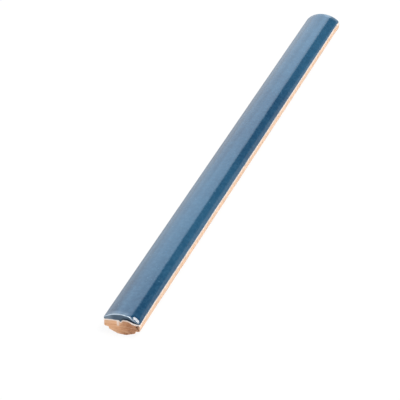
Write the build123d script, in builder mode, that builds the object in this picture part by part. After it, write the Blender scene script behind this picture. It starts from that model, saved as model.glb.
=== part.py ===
# Glazed pencil liner tile: a long, narrow ceramic trim strip with a domed, glazed
# face, bare clay sides and a narrower foot, bevelled towards a flat bed, that goes
# down into the adhesive.
#
# Sizes are in millimetres. The origin is in the middle of the bed face, so the
# strip runs along X, its width is along Y and Z points up out of the glazed face.

import os

from build123d import *

# Whole strip, measured over the glaze
tile_length = 206.0
glaze_thickness = 0.16

# Clay section
body_width = 11.3
bed_width = 2.6
foot_width = 8.5
foot_taper = 0.06
bevel_rise = 1.15
ledge_height = 1.9
ledge_rise = 0.12
side_height = 3.2
dome_rise = 1.78

# Edges of the clay
bed_edge_radius = 1.5
foot_edge_radius = 0.45
ledge_root_radius = 0.25
ledge_lip_radius = 0.35
clay_end_radius = 0.25

# Glaze: how far it comes down, and how round its rim is
side_glaze_drop = 0.4
end_glaze_side_drop = 0.85
end_glaze_crown_drop = 1.95
end_glaze_wrap = 0.9
glaze_shoulder_radius = 0.5
glaze_rim_radius = 0.55

# Drip that hangs at the middle of the near end
drip_width = 1.4
drip_length = 2.4
drip_tip_drop = 2.6
drip_offset = 0.2

# Room that a cutting profile needs outside the strip
cut_margin = 2.0

# Heights and widths that follow from the sizes above
half_body = body_width / 2
half_bed = bed_width / 2
half_foot = foot_width / 2
half_width = half_body + glaze_thickness
spring_height = ledge_height + ledge_rise + side_height
clay_crown = spring_height + dome_rise
crown_height = clay_crown + glaze_thickness
half_length = tile_length / 2
half_clay_length = half_length - glaze_thickness
side_glaze_edge = spring_height - side_glaze_drop
end_glaze_edge = spring_height - end_glaze_side_drop
end_glaze_middle = crown_height - end_glaze_crown_drop
drip_middle = crown_height - drip_tip_drop + drip_length / 2
half_cut_width = half_width + cut_margin
wrap_start = half_length - end_glaze_wrap


# Clay strip: one extruded section, with a rebate beside the foot and a bevelled underside
with BuildPart() as clay_strip:
    with BuildSketch(Plane.YZ):
        with BuildLine():
            Polyline(
                (0, 0),
                (half_bed, 0),
                (half_foot - foot_taper, bevel_rise),
                (half_foot, ledge_height),
                (half_body, ledge_height + ledge_rise),
                (half_body, spring_height),
            )
            ThreePointArc((half_body, spring_height), (0, clay_crown), (-half_body, spring_height))
            Polyline(
                (-half_body, spring_height),
                (-half_body, ledge_height + ledge_rise),
                (-half_foot, ledge_height),
                (-half_foot + foot_taper, bevel_rise),
                (-half_bed, 0),
                (0, 0),
            )
        make_face()
    extrude(amount=half_clay_length, both=True)

    long_edges = clay_strip.edges().filter_by(Axis.X).group_by(Axis.Z)
    bed_edges, foot_edges, ledge_roots, ledge_lips, springings = long_edges
    fillet(bed_edges, radius=bed_edge_radius)
    fillet(foot_edges, radius=foot_edge_radius)
    fillet(ledge_roots, radius=ledge_root_radius)
    fillet(ledge_lips, radius=ledge_lip_radius)

    end_faces = clay_strip.faces().filter_by(Axis.X)
    fillet(end_faces.edges(), radius=clay_end_radius)


# Glaze coat: the domed cap at its full thickness, with round shoulders and rims
with BuildPart() as glaze_coat:
    with BuildSketch(Plane.YZ):
        with BuildLine():
            Polyline(
                (-half_width, spring_height),
                (-half_width, ledge_height),
                (half_width, ledge_height),
                (half_width, spring_height),
            )
            ThreePointArc((half_width, spring_height), (0, crown_height), (-half_width, spring_height))
        make_face()
    extrude(amount=half_length, both=True)

    shoulders = glaze_coat.edges().filter_by(Axis.X).group_by(Axis.Z)[-1]
    fillet(shoulders, radius=glaze_shoulder_radius)
    end_faces = glaze_coat.faces().filter_by(Axis.X)
    bottom_edges = glaze_coat.faces().sort_by(Axis.Z)[0].edges()
    fillet(end_faces.edges() - bottom_edges, radius=glaze_rim_radius)

    # Bare clay shows below a straight glaze edge along each side
    with BuildSketch(Plane.YZ.offset(-wrap_start)):
        with Locations((0, side_glaze_edge)):
            Rectangle(2 * half_cut_width, side_glaze_edge, align=(Align.CENTER, Align.MAX))
    extrude(amount=2 * wrap_start, mode=Mode.SUBTRACT)

    # Near each end the glaze runs down further, in a shallow arch
    for start, depth in ((wrap_start, end_glaze_wrap), (-wrap_start, -end_glaze_wrap)):
        with BuildSketch(Plane.YZ.offset(start)):
            with BuildLine():
                Polyline(
                    (-half_width, end_glaze_edge),
                    (-half_cut_width, end_glaze_edge),
                    (-half_cut_width, 0),
                    (half_cut_width, 0),
                    (half_cut_width, end_glaze_edge),
                    (half_width, end_glaze_edge),
                )
                ThreePointArc(
                    (half_width, end_glaze_edge),
                    (0, end_glaze_middle),
                    (-half_width, end_glaze_edge),
                )
            make_face()
        extrude(amount=depth, mode=Mode.SUBTRACT)


# The fired tile is one piece: clay, glaze and the drip on its near end
with BuildPart() as liner:
    add(clay_strip.part)
    add(glaze_coat.part)
    with BuildSketch(Plane.YZ.offset(-half_clay_length)):
        with Locations((drip_offset, drip_middle)):
            SlotOverall(drip_length, drip_width, rotation=90)
    extrude(amount=-glaze_thickness)

liner.part.label = "liner"
os.makedirs("parts", exist_ok=True)
export_step(liner.part, "parts/liner.step")
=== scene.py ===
"""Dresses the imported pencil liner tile: a bare clay strip and the glaze coat fused on it.

The strip runs along X, its width is along Y, and Z points up out of the glazed face.
Lengths are written in millimetres and become metres where a mesh is made.
"""

import logging
import math
from collections.abc import Iterator
from dataclasses import dataclass
from enum import Enum, IntEnum

import bmesh
import bpy
import numpy as np
from bpy.types import Material, Node, NodeSocket as Socket, NodeTree as Tree, Object
from mathutils import Matrix, Vector

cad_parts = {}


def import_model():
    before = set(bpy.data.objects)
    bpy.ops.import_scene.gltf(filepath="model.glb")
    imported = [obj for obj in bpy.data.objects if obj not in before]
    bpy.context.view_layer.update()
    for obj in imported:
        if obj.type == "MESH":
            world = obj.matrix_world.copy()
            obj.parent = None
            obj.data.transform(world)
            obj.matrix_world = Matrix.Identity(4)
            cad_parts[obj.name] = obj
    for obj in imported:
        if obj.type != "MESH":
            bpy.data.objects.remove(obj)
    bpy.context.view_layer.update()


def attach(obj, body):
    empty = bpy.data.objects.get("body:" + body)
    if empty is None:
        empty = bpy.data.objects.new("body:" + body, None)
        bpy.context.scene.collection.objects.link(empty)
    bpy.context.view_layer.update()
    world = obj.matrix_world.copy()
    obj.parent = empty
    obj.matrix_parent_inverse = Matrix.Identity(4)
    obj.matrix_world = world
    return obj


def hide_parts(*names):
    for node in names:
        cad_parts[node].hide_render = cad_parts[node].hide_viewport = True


LOG = logging.getLogger("pencil_liner")
MM = 0.001
UPRIGHT = math.pi / 2
Array = np.ndarray
Masks = dict[str, Array]
Colour = tuple[float, float, float, float]
Ring = tuple[Array, Array, float]
Sockets = dict[str, Socket]
Names = tuple[str, ...]
Row = tuple[float, ...]
Triple = tuple[float, float, float]


class Slot(Enum):
    """The record's material slots."""

    GLAZE = "glaze"
    CLAY = "clay"


class Seed(IntEnum):
    """Picks the random values of each noise."""

    SIDE_EDGE = 5
    CLAY_SKIN = 11
    CLAY_FACE = 23
    DRAG_LINES = 31
    END_EDGE = 41
    PALE_BAND = 53
    DARK_SIDE_DRIFT = 61
    GLAZE_RIPPLE = 71
    GLAZE_CLOUD = 83
    GLAZE_TONE = 97


# Numbers and noise


def smooth_step(low: float, high: float, value: Array) -> Array:
    """Eases from 0 at low to 1 at high, with level ends: 3t^2 - 2t^3.

    Args:
        low: value at which the result leaves 0.
        high: value at which the result reaches 1.
        value: the numbers to ease.

    Returns:
        An array like value, between 0 and 1.
    """
    t = np.clip((value - low) / (high - low), 0.0, 1.0)
    return t * t * (3.0 - 2.0 * t)


def bump_at(value: Array, centre: float, width: float) -> Array:
    """A bell curve, exp(-((value - centre) / width)^2)."""
    return np.exp(-(((value - centre) / width) ** 2))


def lattice_noise(points: Array, seed: int) -> Array:
    """Smooth random heights in space: random values on a unit lattice, eased between corners.

    Args:
        points: an (n, 3) array, where one unit is one lattice cell.
        seed: picks the random values.

    Returns:
        n values between -1 and 1.
    """
    cell = np.floor(points).astype(np.int64)
    part = points - cell
    part = part * part * (3.0 - 2.0 * part)
    total = np.zeros(len(points))
    for corner in range(8):
        step = np.array([corner & 1, corner >> 1 & 1, corner >> 2 & 1])
        i, j, k = (cell + step).T
        mixed = i * 73856093 ^ j * 19349663 ^ k * 83492791 ^ seed * 2654435761
        mixed = (mixed ^ mixed >> 13) * 1274126177 & 0xFFFFFFFF
        mixed = (mixed ^ mixed >> 16) * 2246822519 & 0xFFFFFFFF
        value = (mixed >> 8 & 0xFFFF) / 32767.5 - 1.0
        weight = np.where(step == 1, part, 1.0 - part).prod(axis=1)
        total += value * weight
    return total


def layered_noise(points: Array, size: float, octaves: int, seed: int) -> Array:
    """Adds layers of lattice noise, each half as large and strong as the last.

    Args:
        points: an (n, 3) array in millimetres.
        size: cell size of the first layer in millimetres.
        octaves: number of layers.
        seed: picks the random values.

    Returns:
        n values, mostly between -1 and 1.
    """
    total = np.zeros(len(points))
    for layer in range(octaves):
        heights = lattice_noise(points / size * 2.0**layer + 17.3 * layer, seed + layer)
        total += 0.5**layer * heights
    return total


# Meshes


def grid_faces(rows: int, columns: int, closed: bool) -> Array:
    """Four-cornered faces of a grid whose points are stored row by row.

    Args:
        rows: number of rows of points.
        columns: number of points in a row.
        closed: whether the last column joins the first.

    Returns:
        An (m, 4) array of point numbers.
    """
    across = np.arange(columns if closed else columns - 1)
    down = np.arange(rows - 1)[:, None] * columns
    first = down + across
    second = down + (across + 1) % columns
    return np.stack([first, second, second + columns, first + columns], axis=-1).reshape(-1, 4)


def mesh_piece(name: str, points: Array, faces: Array, masks: Masks) -> Object:
    """Makes a smooth, closed mesh object at the origin, with its place in its mesh.

    Args:
        name: name of the object and its mesh.
        points: an (n, 3) array in millimetres.
        faces: an (m, 4) array of point numbers.
        masks: values between 0 and 1 for each point, by the name of the attribute.

    Returns:
        The new object, linked to the scene.
    """
    mesh = bpy.data.meshes.new(name)
    mesh.from_pydata((points * MM).tolist(), [], faces.tolist())
    for mask_name, values in masks.items():
        layer = mesh.attributes.new(mask_name, "FLOAT", "POINT")
        layer.data.foreach_set("value", values.astype(np.float32))
    piece = bpy.data.objects.new(name, mesh)
    bpy.context.scene.collection.objects.link(piece)
    # Points in one place, at poles and ridges, are merged, and the faces are turned outwards
    work = bmesh.new()
    work.from_mesh(mesh)
    bmesh.ops.remove_doubles(work, verts=work.verts, dist=0.0005 * MM)
    bmesh.ops.dissolve_degenerate(work, edges=work.edges, dist=0.0002 * MM)
    bmesh.ops.recalc_face_normals(work, faces=work.faces)
    work.to_mesh(mesh)
    work.free()
    mesh.shade_smooth()
    return piece


# Sizes and edges that both pieces share


@dataclass(frozen=True)
class StripSizes:
    """Sizes of the fired strip in millimetres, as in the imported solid."""

    length: float = 206.0
    glaze: float = 0.16
    body_width: float = 11.3
    bed_width: float = 2.6
    foot_width: float = 8.5
    foot_taper: float = 0.06
    bevel_rise: float = 1.15
    ledge_height: float = 1.9
    ledge_rise: float = 0.12
    side_height: float = 3.2
    dome_rise: float = 1.78

    @property
    def half_length(self) -> float:
        """Half the length over the glaze."""
        return self.length / 2

    @property
    def half_width(self) -> float:
        """Half the width over the glaze."""
        return self.body_width / 2 + self.glaze

    @property
    def spring(self) -> float:
        """Height at which the dome springs from the sides."""
        return self.ledge_height + self.ledge_rise + self.side_height

    @property
    def crown(self) -> float:
        """Height of the glazed crown."""
        return self.spring + self.dome_rise + self.glaze

    def dome(self, across: Array) -> Array:
        """Height of the glazed dome: a circle through both springings and the crown.

        Args:
            across: distances from the middle line.

        Returns:
            Heights above the bed.
        """
        rise = self.crown - self.spring
        radius = (self.half_width**2 + rise**2) / (2 * rise)
        return self.crown - radius + np.sqrt(radius**2 - np.minimum(np.abs(across), self.half_width) ** 2)


@dataclass(frozen=True)
class Facet:
    """The near right corner, where the glaze ran off and left a flat slope towards the end.

    The slope starts this far before the end. Across the strip it begins at inner, counted
    from the middle, is full at outer and eases off again beyond last.
    """

    start: float = 1.4
    slope: float = 0.50
    inner: float = 2.1
    outer: float = 3.7
    last: float = 4.5
    ease: float = 0.3
    blend: float = 0.25

    def fall(self, sizes: StripSizes, x: Array, y: Array) -> Array:
        """How far the slope lies under the plain dome, with a soft start.

        Args:
            sizes: the strip's sizes.
            x: places along.
            y: places across.

        Returns:
            The drops.
        """
        reach = self.start * smooth_step(self.inner, self.outer, -y)
        reach = reach * (1.0 - self.ease * smooth_step(self.last, sizes.half_width, -y))
        under = self.slope * (-x - sizes.half_length + reach)
        soft = np.clip(under + self.blend, 0.0, None) ** 2 / (4 * self.blend)
        return np.where(under > self.blend, under, soft) * smooth_step(0.0, self.ease, reach)


@dataclass(frozen=True)
class RoundCorner:
    """A corner of the dome that slumped into a soft round.

    It falls by its depth times the squares of two shares: how far the place lies past start,
    counted back from the end, and past inner, counted from the middle.
    """

    end: int
    side: int
    depth: float
    start: float
    inner: float

    def fall(self, sizes: StripSizes, x: Array, y: Array) -> Array:
        """How far the corner lies under the plain dome.

        Args:
            sizes: the strip's sizes.
            x: places along.
            y: places across.

        Returns:
            The drops.
        """
        along = np.clip(1.0 - (sizes.half_length - self.end * x) / self.start, 0.0, 1.0)
        across = np.clip((self.side * y - self.inner) / (sizes.half_width - self.inner), 0.0, 1.0)
        return self.depth * along**2 * across**2


@dataclass(frozen=True)
class GlazeShape:
    """Where the fired glaze ends and how its corners slumped. Both pieces follow it."""

    sizes: StripSizes
    side_drop: float = 0.45
    corner_drop: float = 0.22
    least_height: float = 4.76
    waver: float = 0.05
    corners: tuple[Facet | RoundCorner, ...] = (
        Facet(),
        RoundCorner(-1, 1, 0.3, 1.6, 2.0),
        RoundCorner(1, 1, 0.6, 3.4, 0.5),
        RoundCorner(1, -1, 0.25, 1.4, 2.0),
    )
    near_across: Row = (
        -5.8, -5.3, -4.2, -2.8, -1.8, -0.6, -0.3, 0.0, 0.22, 0.42, 0.62, 0.85, 1.5, 3.5, 5.3, 5.8,
    )
    near_height: Row = (
        4.5, 4.66, 4.82, 5.15, 5.45, 5.4, 5.12, 4.78, 4.5, 4.5, 4.8, 4.95, 4.93, 4.83, 4.5, 4.42,
    )
    far_across: Row = (-5.8, -4.6, -3.0, -1.2, 0.4, 1.1, 1.9, 3.4, 4.6, 5.8)
    far_height: Row = (4.4, 4.75, 5.05, 5.35, 5.28, 4.92, 5.2, 5.02, 4.7, 4.4)

    def drop(self, x: Array, y: Array) -> Array:
        """How far the slumped corners lie under the plain dome, down to the least height.

        Args:
            x: places along.
            y: places across.

        Returns:
            The drops.
        """
        falls = [corner.fall(self.sizes, x, y) for corner in self.corners]
        return np.minimum(np.max(falls, axis=0), self.sizes.dome(y) - self.least_height)

    def height(self, x: Array, y: Array) -> Array:
        """Height of the glazed face, dome and slumped corners."""
        return self.sizes.dome(y) - self.drop(x, y)

    def edge(self, x: Array, y: Array, ahead: Array) -> Array:
        """Height at which the glaze ends, on the sides and on the ends.

        Along the sides it is a little below the springing and wavers slightly. On the ends it
        is a ragged arch, with one drip on the near end and a shorter one on the far end.

        Args:
            x: places along.
            y: places across.
            ahead: how much the surface there faces along the strip, 0 to 1.

        Returns:
            The heights.
        """
        s = self.sizes
        flat = np.stack([x, y, np.zeros(len(x))], axis=1)
        side = s.spring - self.side_drop + self.waver * layered_noise(flat, 6.0, 3, Seed.SIDE_EDGE)
        side = side - self.corner_drop * smooth_step(s.half_length - 5.0, s.half_length - 0.4, np.abs(x))
        near = np.interp(y, self.near_across, self.near_height)
        far = np.interp(y, self.far_across, self.far_height)
        end = np.where(x < 0, near, far) + self.waver * layered_noise(flat, 0.75, 2, Seed.END_EDGE)
        share = smooth_step(0.35, 0.95, ahead)
        return side * (1 - share) + end * share


# Shader helpers


@dataclass(frozen=True)
class Wiring:
    """Adds nodes to one tree in short steps."""

    tree: Tree

    def link(self, source: object, target: Socket) -> None:
        """Joins an output to an input, or sets the input where source is a plain value.

        Args:
            source: an output or a value.
            target: the input.
        """
        if isinstance(source, Socket):
            self.tree.links.new(source, target)
        else:
            target.default_value = source

    def node(self, kind: str, inputs: dict[str | int, object], **settings: object) -> Node:
        """Adds a node.

        Args:
            kind: Blender's name of the node, without ShaderNode.
            inputs: outputs or values, by the input's name or number.
            settings: the node's own settings.

        Returns:
            The node.
        """
        node = self.tree.nodes.new("ShaderNode" + kind)
        for name, value in settings.items():
            setattr(node, name, value)
        for key, source in inputs.items():
            self.link(source, node.inputs[key])
        return node

    def math(self, operation: str, *values: object) -> Socket:
        """Returns the result of a math operation."""
        return self.node("Math", dict(enumerate(values)), operation=operation).outputs[0]

    def ramp(
        self, value: object, low: object, high: object, start: float = 0.0, end: float = 1.0
    ) -> Socket:
        """Maps low..high to start..end with eased ends, held outside.

        Args:
            value: the number to map.
            low: value that gives start.
            high: value that gives end.
            start: first result.
            end: last result.

        Returns:
            The mapped number.
        """
        inputs = dict(enumerate((value, low, high, start, end)))
        return self.node("MapRange", inputs, interpolation_type="SMOOTHSTEP").outputs[0]

    def mix(self, share: object, first: object, second: object) -> Socket:
        """Mixes two colours, by the share of the second, from 0 to 1."""
        return self.node("Mix", {0: share, 6: first, 7: second}, data_type="RGBA").outputs[2]

    def noise(self, vector: Socket, scale: object, detail: float, rough: float = 0.5) -> Socket:
        """Returns the height of a Noise Texture, about 0.5 on average."""
        inputs = {"Vector": vector, "Scale": scale, "Detail": detail, "Roughness": rough}
        return self.node("TexNoise", inputs).outputs["Fac"]

    def mask(self, name: str) -> Socket:
        """Returns a value stored at the mesh's points."""
        return self.node("Attribute", {}, attribute_name=name).outputs["Fac"]

    def group(self, tree: Tree, **values: object) -> Sockets:
        """Places a node group with these inputs. Returns its outputs by name."""
        return dict(self.node("Group", values, node_tree=tree).outputs.items())

    def bump(self, height: Socket, distance: float) -> Socket:
        """Returns the normal of a relief whose height of 1 stands distance metres high."""
        return self.node("Bump", {"Distance": distance, "Height": height}).outputs["Normal"]

    def shade(self, inputs: dict[str, object]) -> None:
        """Adds the Principled shader with these inputs, and the material's output."""
        shader = self.node("BsdfPrincipled", inputs)
        self.node("OutputMaterial", {0: shader.outputs[0]})


def new_group(name: str, numbers: Names, outputs: Names) -> tuple[Wiring, Sockets, Sockets]:
    """Starts a shader node group with a Vector input.

    Args:
        name: name of the group.
        numbers: names of the other inputs, which are numbers.
        outputs: names of the outputs, which are numbers.

    Returns:
        The wiring, the sockets that the group reads from, and the sockets that it writes to.
    """
    tree = bpy.data.node_groups.new(name, "ShaderNodeTree")
    tree.interface.new_socket(name="Vector", in_out="INPUT", socket_type="NodeSocketVector")
    for side, labels in (("INPUT", numbers), ("OUTPUT", outputs)):
        for label in labels:
            tree.interface.new_socket(name=label, in_out=side, socket_type="NodeSocketFloat")
    enter = tree.nodes.new("NodeGroupInput").outputs
    leave = tree.nodes.new("NodeGroupOutput").inputs
    return Wiring(tree), dict(enter.items()), dict(leave.items())


def speckle_group() -> Tree:
    """Builds the group for scattered round specks: pinholes, grains and pits.

    Each Voronoi cell holds one speck. A coarser noise keeps them in loose patches.

    Returns:
        A group with inputs Vector, Scale, Size and Cover, and outputs Mask and Height.
    """
    wires, enter, leave = new_group("scattered_specks", ("Scale", "Size", "Cover"), ("Mask", "Height"))
    cells = wires.node("TexVoronoi", {"Vector": enter["Vector"], "Scale": enter["Scale"]})
    distance = cells.outputs["Distance"]
    speck = wires.ramp(distance, enter["Size"], wires.math("MULTIPLY", enter["Size"], 0.45))
    patch = wires.noise(enter["Vector"], wires.math("MULTIPLY", enter["Scale"], 0.23), 2.0)
    limit = wires.math("SUBTRACT", 0.72, wires.math("MULTIPLY", enter["Cover"], 0.42))
    kept = wires.ramp(patch, limit, wires.math("ADD", limit, 0.05))
    mask = wires.math("MULTIPLY", speck, kept)
    wires.link(mask, leave["Mask"])
    wires.link(wires.math("MULTIPLY", mask, -1.0), leave["Height"])
    return wires.tree


def mottle_group() -> Tree:
    """Builds the group for cloudy variation at two sizes, a broad drift and a fine break-up.

    Returns:
        A group with inputs Vector, Broad, Fine and Contrast, and outputs Cloud and Grain.
    """
    wires, enter, leave = new_group("kiln_mottle", ("Broad", "Fine", "Contrast"), ("Cloud", "Grain"))
    for label, scale, detail in (("Cloud", "Broad", 3.0), ("Grain", "Fine", 4.0)):
        height = wires.noise(enter["Vector"], enter[scale], detail, 0.55)
        centred = wires.math("SUBTRACT", height, 0.5)
        spread = wires.math("MULTIPLY", centred, wires.math("MULTIPLY", enter["Contrast"], 2.0))
        wires.link(wires.math("ADD", spread, 0.5), leave[label])
    return wires.tree


@dataclass(frozen=True)
class Effects:
    """The shader groups that both finishes use."""

    specks: Tree
    mottle: Tree


def new_material(name: str) -> tuple[Material, Wiring]:
    """Starts an empty material.

    Args:
        name: the material's name.

    Returns:
        The material and the wiring of its nodes.
    """
    material = bpy.data.materials.new(name)
    material.use_nodes = True
    material.node_tree.nodes.clear()
    return material, Wiring(material.node_tree)


# Finishes


@dataclass(frozen=True)
class ClayFinish:
    """Bare fired clay: a pale skin on the sides and a darker, streaky face at the cut ends.

    It reads four values from the mesh: cut on the end faces, a darker side and foot of the end
    faces, partly painted shade and partly darker clay, wick on the pale line beside the glaze,
    and painted shade in the torn holes.
    """

    skin: Colour = (0.76, 0.53, 0.385, 1.0)
    skin_deep: Colour = (0.70, 0.45, 0.30, 1.0)
    cut: Colour = (0.72, 0.43, 0.26, 1.0)
    cut_deep: Colour = (0.62, 0.31, 0.16, 1.0)
    # Painted shade, partly darker clay: the darker side and foot of the end faces, also used to darken
    # the pits.
    dark_clay_and_shade: Colour = (0.37, 0.18, 0.10, 1.0)
    dark_clay_and_shade_deep: Colour = (0.31, 0.125, 0.052, 1.0)
    wick: Colour = (0.82, 0.73, 0.67, 1.0)
    # Painted shade in the torn holes.
    hole_shade: Colour = (0.10, 0.055, 0.035, 1.0)
    streak_scale: Triple = (300.0, 260.0, 2600.0)
    roughness: float = 0.82
    specular: float = 0.3

    def material(self, effects: Effects) -> Material:
        """Makes the material.

        Args:
            effects: the groups to place.

        Returns:
            The material.
        """
        material, wires = new_material("bare_clay")
        place = wires.node("TexCoord", {}).outputs["Object"]
        mottle = wires.group(effects.mottle, Vector=place, Broad=260.0, Fine=2600.0, Contrast=1.3)
        stretched = wires.node("Mapping", {"Vector": place, "Scale": self.streak_scale})
        streaks = wires.ramp(wires.noise(stretched.outputs["Vector"], 1.0, 3.0), 0.36, 0.64)
        pits = wires.group(effects.specks, Vector=place, Scale=1900.0, Size=0.3, Cover=0.4)
        skin = wires.mix(mottle["Cloud"], self.skin_deep, self.skin)
        cut = wires.mix(streaks, self.cut_deep, self.cut)
        # Darker side of the end faces: partly painted shade, partly darker clay.
        dark_clay_and_shade = wires.mix(streaks, self.dark_clay_and_shade_deep, self.dark_clay_and_shade)
        cut = wires.mix(wires.mask("dark_clay_and_shade"), cut, dark_clay_and_shade)
        cut = wires.mix(wires.ramp(mottle["Grain"], 0.45, 0.85, 0.0, 0.35), cut, self.cut)
        colour = wires.mix(wires.mask("cut"), skin, cut)
        # The pits are darkened: painted shade in them.
        colour = wires.mix(wires.math("MULTIPLY", pits["Mask"], 0.35), colour, self.dark_clay_and_shade)
        # wick is the clay's own pale line; the torn holes get painted shade.
        for name in ("wick", "hole_shade"):
            colour = wires.mix(wires.mask(name), colour, getattr(self, name))
        relief = wires.math("ADD", wires.math("MULTIPLY", mottle["Grain"], 0.6), pits["Height"])
        wires.shade({
            "Base Color": colour,
            "Roughness": self.roughness,
            "Specular IOR Level": self.specular,
            "Normal": wires.bump(relief, 0.05 * MM),
        })
        return material


@dataclass(frozen=True)
class GlazeFinish:
    """Glossy blue glaze, pale over its rims, partly painted highlight and partly the glaze breaking pale,
    and thinning to a pale line where it ends.

    The body colour drifts between deep and body, with cloudy mottle and fine pale specks.
    It reads five values from the mesh: tone for the slow drift along the strip, thin at the
    lower edge, rim on the rounded rims, where highlight and sheen are painted, steep on the end
    faces, and a near-black value low on the end faces, where a dark reflection and shade are painted.
    """

    deep: Colour = (0.005, 0.040, 0.090, 1.0)
    body: Colour = (0.013, 0.070, 0.134, 1.0)
    cloudy: Colour = (0.045, 0.125, 0.205, 1.0)
    steep: Colour = (0.036, 0.072, 0.112, 1.0)
    # Painted dark reflection and shade, near-black, low on the end faces.
    pool: Colour = (0.002, 0.010, 0.022, 1.0)
    # Pale rim: painted highlight and sheen, partly the glaze breaking pale.
    rim: Colour = (0.56, 0.66, 0.76, 1.0)
    thin: Colour = (0.62, 0.62, 0.63, 1.0)
    speck: Colour = (0.10, 0.24, 0.36, 1.0)
    roughness: float = 0.115
    ior: float = 1.52

    def material(self, effects: Effects) -> Material:
        """Makes the material.

        Args:
            effects: the groups to place.

        Returns:
            The material.
        """
        material, wires = new_material("blue_glaze")
        place = wires.node("TexCoord", {}).outputs["Object"]
        mottle = wires.group(effects.mottle, Vector=place, Broad=150.0, Fine=900.0, Contrast=1.2)
        specks = wires.group(effects.specks, Vector=place, Scale=900.0, Size=0.22, Cover=0.3)
        drift = wires.math("MULTIPLY", wires.math("SUBTRACT", mottle["Cloud"], 0.5), 0.5)
        colour = wires.mix(wires.math("ADD", wires.mask("tone"), drift), self.deep, self.body)
        colour = wires.mix(wires.ramp(mottle["Grain"], 0.3, 0.9, 0.0, 0.25), colour, self.cloudy)
        colour = wires.mix(wires.math("MULTIPLY", specks["Mask"], 0.5), colour, self.speck)
        # rim paints highlight, sheen and reflection; the near-black one paints a dark reflection.
        for name in ("steep", "pool", "rim", "thin"):
            colour = wires.mix(wires.mask(name), colour, getattr(self, name))
        relief = wires.math("ADD", wires.math("MULTIPLY", mottle["Grain"], 0.3), specks["Height"])
        wires.shade({
            "Base Color": colour,
            "Roughness": self.roughness,
            "IOR": self.ior,
            # Less specular where the dark reflection is painted.
            "Specular IOR Level": wires.ramp(wires.mask("pool"), 0.1, 0.9, 0.5, 0.1),
            "Normal": wires.bump(relief, 0.013 * MM),
        })
        return material


# The clay strip


class Fired:
    """A part of the strip that has a finish."""

    def dress(self, piece: Object, effects: Effects) -> None:
        """Gives the piece its finish."""
        piece.data.materials.append(self.finish.material(effects))


@dataclass(frozen=True)
class TornHole:
    """A hole torn in an end face: the end, its middle across and up, and its half spans."""

    end: int
    across: float
    height: float
    width: float
    tall: float


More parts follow.
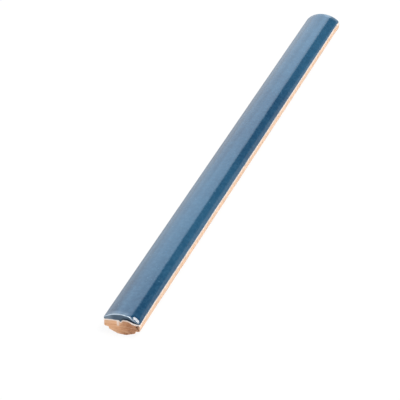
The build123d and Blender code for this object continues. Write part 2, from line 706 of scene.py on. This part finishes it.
@dataclass
class ClayBody(Fired):
    """The fired clay: one closed surface, its section carried along X and closed at the ends."""

    sizes: StripSizes
    shape: GlazeShape
    finish: ClayFinish = ClayFinish()
    bed_edge: float = 1.5
    foot_edge: float = 0.45
    ledge_root: float = 0.25
    ledge_lip: float = 0.35
    shoulder: float = 0.45
    shoulder_reach: float = 0.8
    end_edge: float = 0.25
    section_middle: float = 3.2
    skin_relief: float = 0.022
    face_relief: float = 0.035
    drag_relief: float = 0.04
    slip_across: float = 1.15
    slip_width: float = 0.34
    slip_relief: float = 0.1
    tuck: float = 0.03
    hole_depth: float = 0.4
    burr: float = 0.36
    holes: tuple[TornHole, ...] = (
        TornHole(-1, -5.2, 4.15, 0.22, 0.24),
        TornHole(-1, -4.75, 3.7, 0.2, 0.34),
        TornHole(-1, -5.05, 3.1, 0.18, 0.22),
        TornHole(-1, -5.45, 2.65, 0.16, 0.2),
        TornHole(1, 4.1, 3.3, 0.34, 0.26),
        TornHole(1, -2.2, 1.5, 0.26, 0.2),
    )
    stations: int = 230
    around: int = 256
    end_rings: int = 50
    edge_rings: int = 7
    arc_points: int = 9
    dome_points: int = 60

    def corner(self, before: Array, point: Array, after: Array, radius: float) -> Array:
        """Points of the arc that rounds one corner: the circle that touches both legs.

        Args:
            before: the corner before.
            point: the corner to round.
            after: the corner after.
            radius: radius of the rounding.

        Returns:
            An (arc_points, 2) array from the first leg to the second.
        """
        first = (before - point) / np.linalg.norm(before - point)
        second = (after - point) / np.linalg.norm(after - point)
        half = 0.5 * math.acos(first @ second)
        middle = (first + second) / np.linalg.norm(first + second)
        centre = point + middle * radius / math.sin(half)
        start = point + first * radius / math.tan(half) - centre
        end = point + second * radius / math.tan(half) - centre
        share = np.linspace(0.0, 1.0, self.arc_points)[:, None]
        swing = math.acos(start @ end / radius**2)
        arc = np.sin((1 - share) * swing) * start + np.sin(share * swing) * end
        return centre + arc / math.sin(swing)

    def section(self) -> Array:
        """The section's outline, evenly spaced.

        Half of it is a chain of legs with round corners, closed by the dome's arc, which lies
        one glaze thickness under the glazed dome. The other half mirrors it.

        Returns:
            An (around, 2) array of places across and heights, anticlockwise seen against X.
        """
        s = self.sizes
        foot, body = s.foot_width / 2, s.body_width / 2
        across = np.linspace(body - self.shoulder_reach, 0.0, self.dome_points)
        dome = np.stack([across, s.dome(across) - s.glaze], axis=1)
        chain = np.array([
            (0.0, 0.0),
            (s.bed_width / 2, 0.0),
            (foot - s.foot_taper, s.bevel_rise),
            (foot, s.ledge_height),
            (body, s.ledge_height + s.ledge_rise),
            (body, s.spring),
            dome[0],
        ])
        radii = (self.bed_edge, self.foot_edge, self.ledge_root, self.ledge_lip, self.shoulder)
        arcs = [self.corner(*chain[start : start + 3], radius) for start, radius in enumerate(radii)]
        half = np.concatenate([chain[:1], *arcs, dome])
        loop = np.concatenate([half, (half * [-1.0, 1.0])[::-1][1:]])
        run = np.concatenate([[0.0], np.cumsum(np.linalg.norm(np.diff(loop, axis=0), axis=1))])
        even = np.linspace(0.0, run[-1], self.around + 1)[:-1]
        return np.stack([np.interp(even, run, loop[:, 0]), np.interp(even, run, loop[:, 1])], axis=1)

    def rings(self) -> Array:
        """How the section is carried from the middle of one end, over its edge, along and back in.

        Returns:
            Four rows with a value for each ring: place along X, inset of the outline, scale
            towards the middle of the section, and share of the cut face.
        """
        half = self.sizes.half_length - self.sizes.glaze
        fill = np.linspace(0.0, 1.0, self.end_rings) ** 0.9
        turn = np.linspace(0.0, UPRIGHT, self.edge_rings)[1:]
        edge_x = self.end_edge * (1 - np.sin(UPRIGHT - turn))
        edge_inset = self.end_edge * (1 - np.sin(turn))
        along = np.linspace(-half + self.end_edge, half - self.end_edge, self.stations)[1:-1]
        face = np.stack(np.broadcast_arrays(-half, self.end_edge, fill, 1.0))
        edge = np.stack(np.broadcast_arrays(-half + edge_x, edge_inset, 1.0, np.cos(turn) ** 2))
        side = np.stack(np.broadcast_arrays(along, 0.0, 1.0, 0.0))
        far = np.concatenate([face, edge], axis=1)[:, ::-1] * [[-1.0], [1.0], [1.0], [1.0]]
        return np.concatenate([face, edge, side, far], axis=1)

    def hole_share(self, points: Array) -> Array:
        """Depth share of the torn holes: bell curves across and up, each close to its own end.

        Args:
            points: an (n, 3) array of places.

        Returns:
            n shares from 0 to 1.
        """
        x, y, z = points.T
        half = self.sizes.half_length
        total = np.zeros(len(points))
        for hole in self.holes:
            close = smooth_step(half - 1.2, half - 0.4, hole.end * x)
            total += bump_at(y, hole.across, hole.width) * bump_at(z, hole.height, hole.tall) * close
        return np.clip(total, 0.0, 1.0)

    def slip_share(self, points: Array, cut: Array) -> Array:
        """Share of the pale run of slip on the near end, beside the drip.

        Args:
            points: an (n, 3) array of places.
            cut: share of the cut face at each point.

        Returns:
            n shares from 0 to 1.
        """
        x, y, z = points.T
        half = self.sizes.half_length
        near = smooth_step(-half + 1.5, -half + 0.5, x)
        return bump_at(y, self.slip_across, self.slip_width) * smooth_step(2.7, 3.3, z) * near * cut

    def relief(self, points: Array, outward: Array, cut: Array) -> Array:
        """Moves the surface by its grain, drag lines, holes, slip and the burr at the far end.

        Under the glaze it is tucked in a little, and its corners fall as the glaze's do. The
        bed stays flat.

        Args:
            points: an (n, 3) array of places.
            outward: an (n, 3) array of directions outwards.
            cut: share of the cut face at each point.

        Returns:
            The moved points.
        """
        x, y, z = points.T
        bare = smooth_step(0.0, 0.35, self.shape.edge(x, y, np.sqrt(cut)) - z)
        skin = layered_noise(points * [0.35, 1.0, 1.0], 2.2, 3, Seed.CLAY_SKIN)
        lines = layered_noise(points * [1.0, 0.2, 1.0], 0.45, 2, Seed.DRAG_LINES)
        face = layered_noise(points, 0.55, 3, Seed.CLAY_FACE)
        face = self.face_relief * face + self.drag_relief * lines
        height = self.skin_relief * skin * (1 - cut) + face * cut
        height = height + self.slip_relief * self.slip_share(points, cut)
        height = height * bare - self.tuck * (1 - bare) - self.hole_depth * self.hole_share(points)
        moved = points + outward * (height * smooth_step(0.0, 0.5, z))[:, None]
        moved[:, 2] -= self.shape.drop(x, y) * smooth_step(4.0, 4.9, z)
        burr_place = smooth_step(98.6, 101.2, x) * smooth_step(-4.9, -5.5, y) * bump_at(z, 3.5, 1.3)
        moved[:, 1] -= self.burr * burr_place
        return moved

    def marks(self, points: Array, cut: Array) -> Masks:
        """The values that the finish reads at each point.

        Args:
            points: an (n, 3) array of places.
            cut: share of the cut face at each point.

        Returns:
            Values between 0 and 1, by name.
        """
        x, y, z = points.T
        below = self.shape.edge(x, y, np.sqrt(cut)) - z
        reach = 1.15 - 0.45 * cut
        ragged = 0.12 * layered_noise(points, 1.1, 2, Seed.PALE_BAND)
        band = smooth_step(reach, 0.15, below + ragged)
        wick = band * (0.75 + 0.15 * cut) + 0.8 * self.slip_share(points, cut)
        # A darker side on each end face and a darker foot on the -Y half: partly painted shade, partly
        # darker clay.
        drift = 0.9 * layered_noise(points * [0.1, 1.0, 1.0], 2.4, 2, Seed.DARK_SIDE_DRIFT)
        right = smooth_step(1.2, -2.6, np.where(x < 0, y, 1.6 - y) + drift)
        low = smooth_step(1.15, 0.5, z + 0.2 * drift) * smooth_step(1.0, -1.0, y)
        return {
            "cut": cut,
            "wick": np.clip(wick, 0.0, 0.95),
            "dark_clay_and_shade": np.clip(right * 0.9 + 0.5 * low, 0.0, 1.0),
            # Painted shade in the torn holes.
            "hole_shade": np.clip(1.4 * self.hole_share(points), 0.0, 0.85),
        }

    def build(self) -> Object:
        """Builds the strip.

        Each ring is the outline, set in along its own normals, scaled towards the middle of
        the section and moved to its place along X.

        Returns:
            The clay piece.
        """
        outline = self.section()
        ahead = np.roll(outline, -1, axis=0) - np.roll(outline, 1, axis=0)
        normal = np.stack([ahead[:, 1], -ahead[:, 0]], axis=1)
        normal /= np.linalg.norm(normal, axis=1)[:, None]
        along, inset, scale, cut = self.rings()
        middle = np.array([0.0, self.section_middle])
        flat = outline - inset[:, None, None] * normal
        flat = middle + scale[:, None, None] * (flat - middle)
        points = np.column_stack([np.repeat(along, self.around), flat.reshape(-1, 2)])
        share = np.repeat(cut, self.around)
        facing = np.sign(points[:, 0]) * np.sqrt(share)
        turned = np.tile(normal, (len(along), 1)) * np.sqrt(1.0 - share)[:, None]
        outward = np.column_stack([facing, turned])
        faces = grid_faces(len(along), self.around, True)
        moved = self.relief(points, outward, share)
        return mesh_piece("clay_body", moved, faces, self.marks(points, share))


# The glaze


@dataclass
class CoatOutline:
    """What the coat's rings are worked out from, at each point of the strip's outline in plan.

    plan is the place and normal the direction outwards, which faces along the strip by lean.
    lip is the height of the glaze's lower edge and shoulder that of the glazed face. The rim
    falls by fall over its reach. inner lies a corner radius in, and ridge on the middle line.
    """

    plan: Array
    normal: Array
    lean: Array
    lip: Array
    shoulder: Array
    fall: Array
    reach: Array
    inner: Array
    ridge: Array


@dataclass
class GlazeCoat(Fired):
    """The glaze: a thin closed shell over the dome, with round rims and a run-down edge.

    It is made of rings that run round the strip in plan. They go from the ridge line out over
    the dome, round the rim, down the side, in under the lip, and inside the clay back to the
    ridge.
    """

    sizes: StripSizes
    shape: GlazeShape
    finish: GlazeFinish = GlazeFinish()
    corner_radius: float = 0.75
    side_rim: float = 0.3
    side_reach: float = 0.7
    end_rim: float = 0.55
    least_rim: float = 0.1
    lip: float = 0.12
    lip_gap: float = 0.02
    bulge: float = 0.06
    bulge_height: float = 0.1
    bulge_span: float = 0.35
    hidden_depth: float = 0.05
    ripple: float = 0.01
    tone_crest: float = -48.0
    tone_length: float = 132.0
    # How strong the pale rim is across the near end: painted highlight, partly the glaze breaking pale.
    rim_across: Row = (-5.8, -4.4, -3.0, -1.0, 2.0, 4.8, 5.7)
    rim_strength: Row = (0.1, 0.3, 0.65, 0.9, 0.95, 0.95, 0.75)
    far_rim: float = 0.35
    # Painted sheen on the near end.
    near_sheen: float = 0.13
    side_points: int = 320
    corner_points: int = 14
    end_points: int = 96
    dome_rings: int = 30
    rim_rings: int = 13
    drop_rings: int = 11
    lip_rings: int = 7

    def perimeter(self) -> tuple[Array, Array]:
        """The strip's outline in plan, anticlockwise: a rectangle with round corners.

        Returns:
            (n, 2) arrays of places and of directions outwards.
        """
        s = self.sizes
        inner = np.array([s.half_length, s.half_width]) - self.corner_radius
        side = np.linspace(-1.0, 1.0, self.side_points + 1)[:-1]
        end = np.linspace(-1.0, 1.0, self.end_points + 1)[:-1]
        turn = np.linspace(0.0, UPRIGHT, self.corner_points + 1)[:-1]
        places, normals = [], []
        for quarter, corner in enumerate(((1, -1), (1, 1), (-1, 1), (-1, -1))):
            angle = (quarter - 1) * UPRIGHT + turn
            direction = np.stack([np.cos(angle), np.sin(angle)], axis=1)
            places.append(corner * inner + self.corner_radius * direction)
            normals.append(direction)
            leg = end if quarter % 2 == 0 else side
            out = np.array([math.cos(quarter * UPRIGHT), math.sin(quarter * UPRIGHT)])
            ahead = np.array([-out[1], out[0]])
            places.append(out * (inner + self.corner_radius) + ahead * leg[:, None] * inner)
            normals.append(np.broadcast_to(out, (len(leg), 2)))
        return np.concatenate(places), np.concatenate(normals)

    def outline(self) -> CoatOutline:
        """Works out what the rings are made from.

        Between the sides and the ends the rim's fall and reach follow lean. The rim never
        falls so far that it meets the lip.

        Returns:
            The values at each point of the outline.
        """
        s = self.sizes
        plan, normal = self.perimeter()
        lean = normal[:, 0] ** 2
        lip = self.shape.edge(plan[:, 0], plan[:, 1], np.abs(normal[:, 0]))
        shoulder = self.shape.height(plan[:, 0], plan[:, 1])
        fall = self.side_rim + (self.end_rim - self.side_rim) * lean
        reach = self.side_reach + (self.end_rim - self.side_reach) * lean
        fall = np.clip(shoulder - lip - self.lip - self.lip_gap, self.least_rim, fall)
        reach = np.where(lean > 0.5, np.minimum(reach, np.maximum(fall, self.side_rim)), reach)
        inner = plan - self.corner_radius * normal
        ridge_end = s.half_length - s.half_width
        ridge = np.stack([np.clip(inner[:, 0], -ridge_end, ridge_end), np.zeros(len(plan))], axis=1)
        return CoatOutline(plan, normal, lean, lip, shoulder, fall, reach, inner, ridge)

    def outer_rings(self, at: CoatOutline) -> Iterator[Ring]:
        """Gives the rings over the dome, round the rim, down the side and in under the lip.

        A ring's height is the glazed face's, less a quarter circle's fall on the rim. On the
        ends the side bulges a little above the lip.

        Args:
            at: the outline's values.

        Returns:
            For each ring, places in plan, heights and the rim's turn from level to upright.
        """
        for share in np.linspace(0.0, 1.0, self.dome_rings) ** 0.8:
            flat = at.ridge + share * (at.inner - at.ridge)
            yield flat, self.shape.height(*flat.T), 0.0
        for angle in np.linspace(0.0, UPRIGHT, self.rim_rings):
            flat = at.plan - (at.reach * (1 - math.sin(angle)))[:, None] * at.normal
            yield flat, self.shape.height(*flat.T) - at.fall * (1 - math.cos(angle)), angle
        top = at.shoulder - at.fall
        lip_top = np.minimum(at.lip + self.lip, top)
        for share in np.linspace(0.0, 1.0, self.drop_rings)[1:]:
            height = top + share * (lip_top - top)
            swell = bump_at(height - lip_top, self.bulge_height, self.bulge_span)
            yield at.plan + (self.bulge * at.lean * swell)[:, None] * at.normal, height, UPRIGHT
        bulge = self.bulge * at.lean * bump_at(0.0, self.bulge_height, self.bulge_span)
        for angle in np.linspace(0.0, UPRIGHT, self.lip_rings)[1:]:
            inset = (self.sizes.glaze + 0.03 + bulge) * (1 - math.cos(angle)) - bulge
            height = lip_top - self.lip * math.sin(angle)
            yield at.plan - inset[:, None] * at.normal, height, UPRIGHT

    def hidden_rings(self, at: CoatOutline) -> Iterator[Ring]:
        """Gives the rings that lead back to the ridge inside the clay, where nothing shows.

        Args:
            at: the outline's values.

        Returns:
            The same as outer_rings.
        """
        under = self.sizes.glaze + self.hidden_depth
        rise = at.shoulder - at.fall - 0.15 - at.lip
        for share in (0.35, 0.7, 1.0):
            yield at.plan - under * at.normal, at.lip + share * rise, UPRIGHT
        for share in (1.0, 0.6, 0.3, 0.0):
            flat = at.ridge + share * (at.inner - at.ridge)
            yield flat, self.shape.height(*flat.T) - under - 0.25 * at.fall * share, 0.0

    def marks(self, points: Array, tilt: Array, lean: Array, above: Array) -> Masks:
        """The values that the finish reads at each point.

        Args:
            points: an (n, 3) array of places.
            tilt: turn of the rim from level to upright at each point, in radians.
            lean: how much the outline there faces along the strip, 0 to 1.
            above: height over the glaze's lower edge.

        Returns:
            Values between 0 and 1, by name.
        """
        x, y, _ = points.T
        near = x < 0
        cloud = layered_noise(points, 1.3, 2, Seed.GLAZE_CLOUD)
        # Pale rim: painted highlight along the end rims, partly the glaze breaking pale.
        strength = np.where(near, np.interp(y, self.rim_across, self.rim_strength), self.far_rim)
        band = smooth_step(0.22, 0.42, tilt) * smooth_step(1.0, 0.72, tilt)
        rim = np.clip(band * strength * np.sqrt(lean) * (1.0 + 0.25 * cloud), 0.0, 1.0)
        # Painted sheen near both ends: on the +Y side of the near end and mostly on the -Y side of the
        # far end.
        near_left_sheen = self.near_sheen * smooth_step(-2.3, -1.3, y)
        end_sheen = np.where(near, near_left_sheen, 0.08 + 0.16 * smooth_step(0.5, -2.0, y))
        end_sheen = end_sheen * smooth_step(2.6, 0.6, self.sizes.half_length - np.abs(x))
        rim = np.maximum(rim, end_sheen * (1.0 + 0.4 * cloud) * smooth_step(1.0, 0.7, tilt))
        steep = smooth_step(0.75, 1.2, tilt) * lean
        # Painted reflection of a front light on the +Y side of the near end face.
        rim = np.maximum(rim, 0.2 * steep * near * smooth_step(2.0, 4.4, y))
        # Near-black low on the end faces, most on the near end's -Y side: painted dark reflection and
        # shade.
        right = np.where(near, smooth_step(1.6, -2.2, y + 0.3 * cloud), 0.35)
        pool = steep * right * smooth_step(1.1, 0.5, above) * 0.95
        reach = 0.42 - 0.2 * lean
        thin = smooth_step(reach, 0.02, above + 0.04 * cloud) * (0.8 - 0.15 * right * lean)
        wave = 0.5 + 0.42 * np.cos(2 * math.pi * (x - self.tone_crest) / self.tone_length)
        tone = wave + 0.16 * layered_noise(points, 16.0, 3, Seed.GLAZE_TONE)
        return {
            "rim": rim,
            "steep": steep * 0.85,
            "pool": pool,
            "thin": np.clip(thin, 0.0, 1.0),
            "tone": np.clip(tone, 0.0, 1.0),
        }

    def build(self) -> Object:
        """Builds the coat from its rings, with a faint ripple over the dome.

        Returns:
            The glaze piece.
        """
        at = self.outline()
        rings = [*self.outer_rings(at), *self.hidden_rings(at)]
        count = len(rings)
        points = np.concatenate([np.column_stack((flat, height)) for flat, height, _ in rings])
        tilt = np.repeat([turn for _, _, turn in rings], len(at.plan))
        marks = self.marks(points, tilt, np.tile(at.lean, count), points[:, 2] - np.tile(at.lip, count))
        wave = self.ripple * layered_noise(points * [0.6, 1.0, 1.0], 3.6, 2, Seed.GLAZE_RIPPLE)
        spring = self.sizes.spring
        points[:, 2] += wave * smooth_step(spring - 0.4, spring, points[:, 2])
        return mesh_piece("glaze_coat", points, grid_faces(count, len(at.plan), True), marks)


# The studio


@dataclass(frozen=True)
class SoftLamp:
    """A rectangular lamp that faces the strip. Angles are in degrees, azimuth from +X to +Y.

    A lamp of several layers fades at its edges: each layer has an equal share of the
    brightness and is a little larger than the last, up to fade degrees more on every side.
    """

    name: str
    azimuth: float
    elevation: float
    width: float
    height: float
    distance: float
    brightness: float
    colour: Triple = (1.0, 1.0, 1.0)
    fade_across: float = 0.0
    fade_up: float = 0.0
    layers: int = 1

    def span(self, angle: float) -> float:
        """Length that covers an angle in degrees at the lamp's distance."""
        return 2 * self.distance * math.tan(math.radians(angle / 2))

    def place(self) -> None:
        """Adds the lamp's layers. A layer's power is its brightness times pi times its area."""
        azimuth, elevation = math.radians(self.azimuth), math.radians(self.elevation)
        level = math.cos(elevation)
        out = Vector((math.cos(azimuth) * level, math.sin(azimuth) * level, math.sin(elevation)))
        turn = (-out).to_track_quat("-Z", "Y").to_matrix()
        for layer in range(self.layers):
            share = layer / max(1, self.layers - 1)
            data = bpy.data.lights.new(self.name, "AREA")
            data.shape = "RECTANGLE"
            data.size = self.span(self.width + 2 * share * self.fade_across)
            data.size_y = self.span(self.height + 2 * share * self.fade_up)
            data.energy = self.brightness / self.layers * math.pi * data.size * data.size_y
            data.color = self.colour
            lamp = bpy.data.objects.new(self.name, data)
            lamp.matrix_world = Matrix.Translation(out * self.distance) @ turn.to_4x4()
            lamp.visible_camera = False
            bpy.context.scene.collection.objects.link(lamp)


@dataclass
class Studio:
    """Pale floor, soft lamps, dim surroundings and the camera."""

    floor_half: float = 3.0
    floor_points: int = 9
    floor_white: Colour = (0.86, 0.86, 0.86, 1.0)
    plain_share: float = 0.91
    surround: float = 0.12
    focal_length: float = 189.0
    camera_place: Triple = (-570.446, -194.108, 363.374)
    camera_forward: Triple = (0.79701156, 0.28852443, -0.53059045)
    camera_right: Triple = (0.3371994, -0.94141771, -0.00540943)
    lamps: tuple[SoftLamp, ...] = (
        SoftLamp("cool_panel", 19.5, 41.0, 37.4, 28.0, 1.5, 3.3, (0.32, 0.65, 1.0), 0.0, 14.0, 6),
        SoftLamp("cool_core", 19.5, 47.0, 16.0, 24.0, 1.5, 4.2, (0.38, 0.67, 1.0), 8.0, 7.5, 6),
        SoftLamp("pale_panel", 27.0, 22.0, 51.4, 68.0, 1.5, 1.45, (0.92, 0.96, 1.0)),
        SoftLamp("right_window", -77.0, 27.0, 84.0, 32.0, 1.5, 3.3, (0.90, 0.96, 1.0), 7.0, 3.0, 4),
        SoftLamp("key_box", -80.0, 66.0, 24.0, 24.0, 1.6, 17.0, (1.0, 0.98, 0.94)),
        SoftLamp("front_fill", 150.0, 24.0, 40.0, 34.0, 1.6, 3.0),
    )

    def floor(self) -> Object:
        """Makes the floor: a shallow grid plane that is white to the camera and keeps shadows.

        Returns:
            The floor.
        """
        count = self.floor_points
        edge = np.linspace(-self.floor_half, self.floor_half, count)
        x, y = np.meshgrid(edge, edge)
        points = np.stack([x.ravel(), y.ravel(), np.zeros(x.size)], axis=1)
        mesh = bpy.data.meshes.new("pale_floor")
        mesh.from_pydata(points.tolist(), [], grid_faces(count, count, False).tolist())
        floor = bpy.data.objects.new("pale_floor", mesh)
        bpy.context.scene.collection.objects.link(floor)
        mesh.materials.append(self.floor_material())
        return floor

    def floor_material(self) -> Material:
        """Makes the floor's material: pale and matt, with a share of plain white to view rays.

        From below it is clear, so that the underside can be looked at.

        Returns:
            The material.
        """
        material, wires = new_material("pale_floor")
        matt = wires.node("BsdfDiffuse", {"Color": self.floor_white})
        white = wires.node("Emission", {})
        clear = wires.node("BsdfTransparent", {})
        rays = wires.node("LightPath", {}).outputs
        seen = wires.math("MAXIMUM", rays["Is Camera Ray"], rays["Is Glossy Ray"])
        seen = wires.math("MAXIMUM", seen, rays["Is Transmission Ray"])
        share = wires.math("MULTIPLY", seen, self.plain_share)
        above = wires.node("MixShader", {0: share, 1: matt.outputs[0], 2: white.outputs[0]})
        behind = wires.node("NewGeometry", {}).outputs["Backfacing"]
        both = wires.node("MixShader", {0: behind, 1: above.outputs[0], 2: clear.outputs[0]})
        wires.node("OutputMaterial", {0: both.outputs[0]})
        return material

    def world(self) -> None:
        """Sets the surroundings: white to the camera, dim to everything else."""
        world = bpy.data.worlds.new("surroundings")
        bpy.context.scene.world = world
        world.use_nodes = True
        wires = Wiring(world.node_tree)
        background = next(node for node in wires.tree.nodes if node.type == "BACKGROUND")
        background.inputs["Color"].default_value = (1.0, 1.0, 1.0, 1.0)
        seen = wires.node("LightPath", {}).outputs["Is Camera Ray"]
        strength = wires.ramp(seen, 0.0, 1.0, self.surround, 1.0)
        wires.link(strength, background.inputs["Strength"])

    def camera(self) -> None:
        """Places the camera where it sees the strip as the photograph does."""
        data = bpy.data.cameras.new("view")
        data.lens = self.focal_length
        data.clip_start = 0.01
        forward = Vector(self.camera_forward).normalized()
        right = Vector(self.camera_right).normalized()
        up = right.cross(forward)
        turn = Matrix((right, up, -forward)).transposed()
        camera = bpy.data.objects.new("view", data)
        camera.matrix_world = Matrix.Translation(Vector(self.camera_place) * MM) @ turn.to_4x4()
        bpy.context.scene.collection.objects.link(camera)
        bpy.context.scene.camera = camera

    def build(self) -> None:
        """Sets up the whole studio."""
        self.floor()
        for lamp in self.lamps:
            lamp.place()
        self.world()
        self.camera()
        bpy.context.scene.view_settings.view_transform = "Standard"


def main() -> None:
    """Builds the strip and the studio."""
    logging.basicConfig(level=logging.INFO, format="%(name)s: %(message)s")
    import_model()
    sizes = StripSizes()
    shape = GlazeShape(sizes)
    effects = Effects(speckle_group(), mottle_group())
    makers = ((ClayBody(sizes, shape), Slot.CLAY), (GlazeCoat(sizes, shape), Slot.GLAZE))
    for maker, slot in makers:
        piece = maker.build()
        maker.dress(piece, effects)
        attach(piece, "root")
        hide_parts("liner")
        LOG.info("%s: %d faces, slot %s", piece.name, len(piece.data.polygons), slot.value)
    Studio().build()


if __name__ == "__main__":
    main()
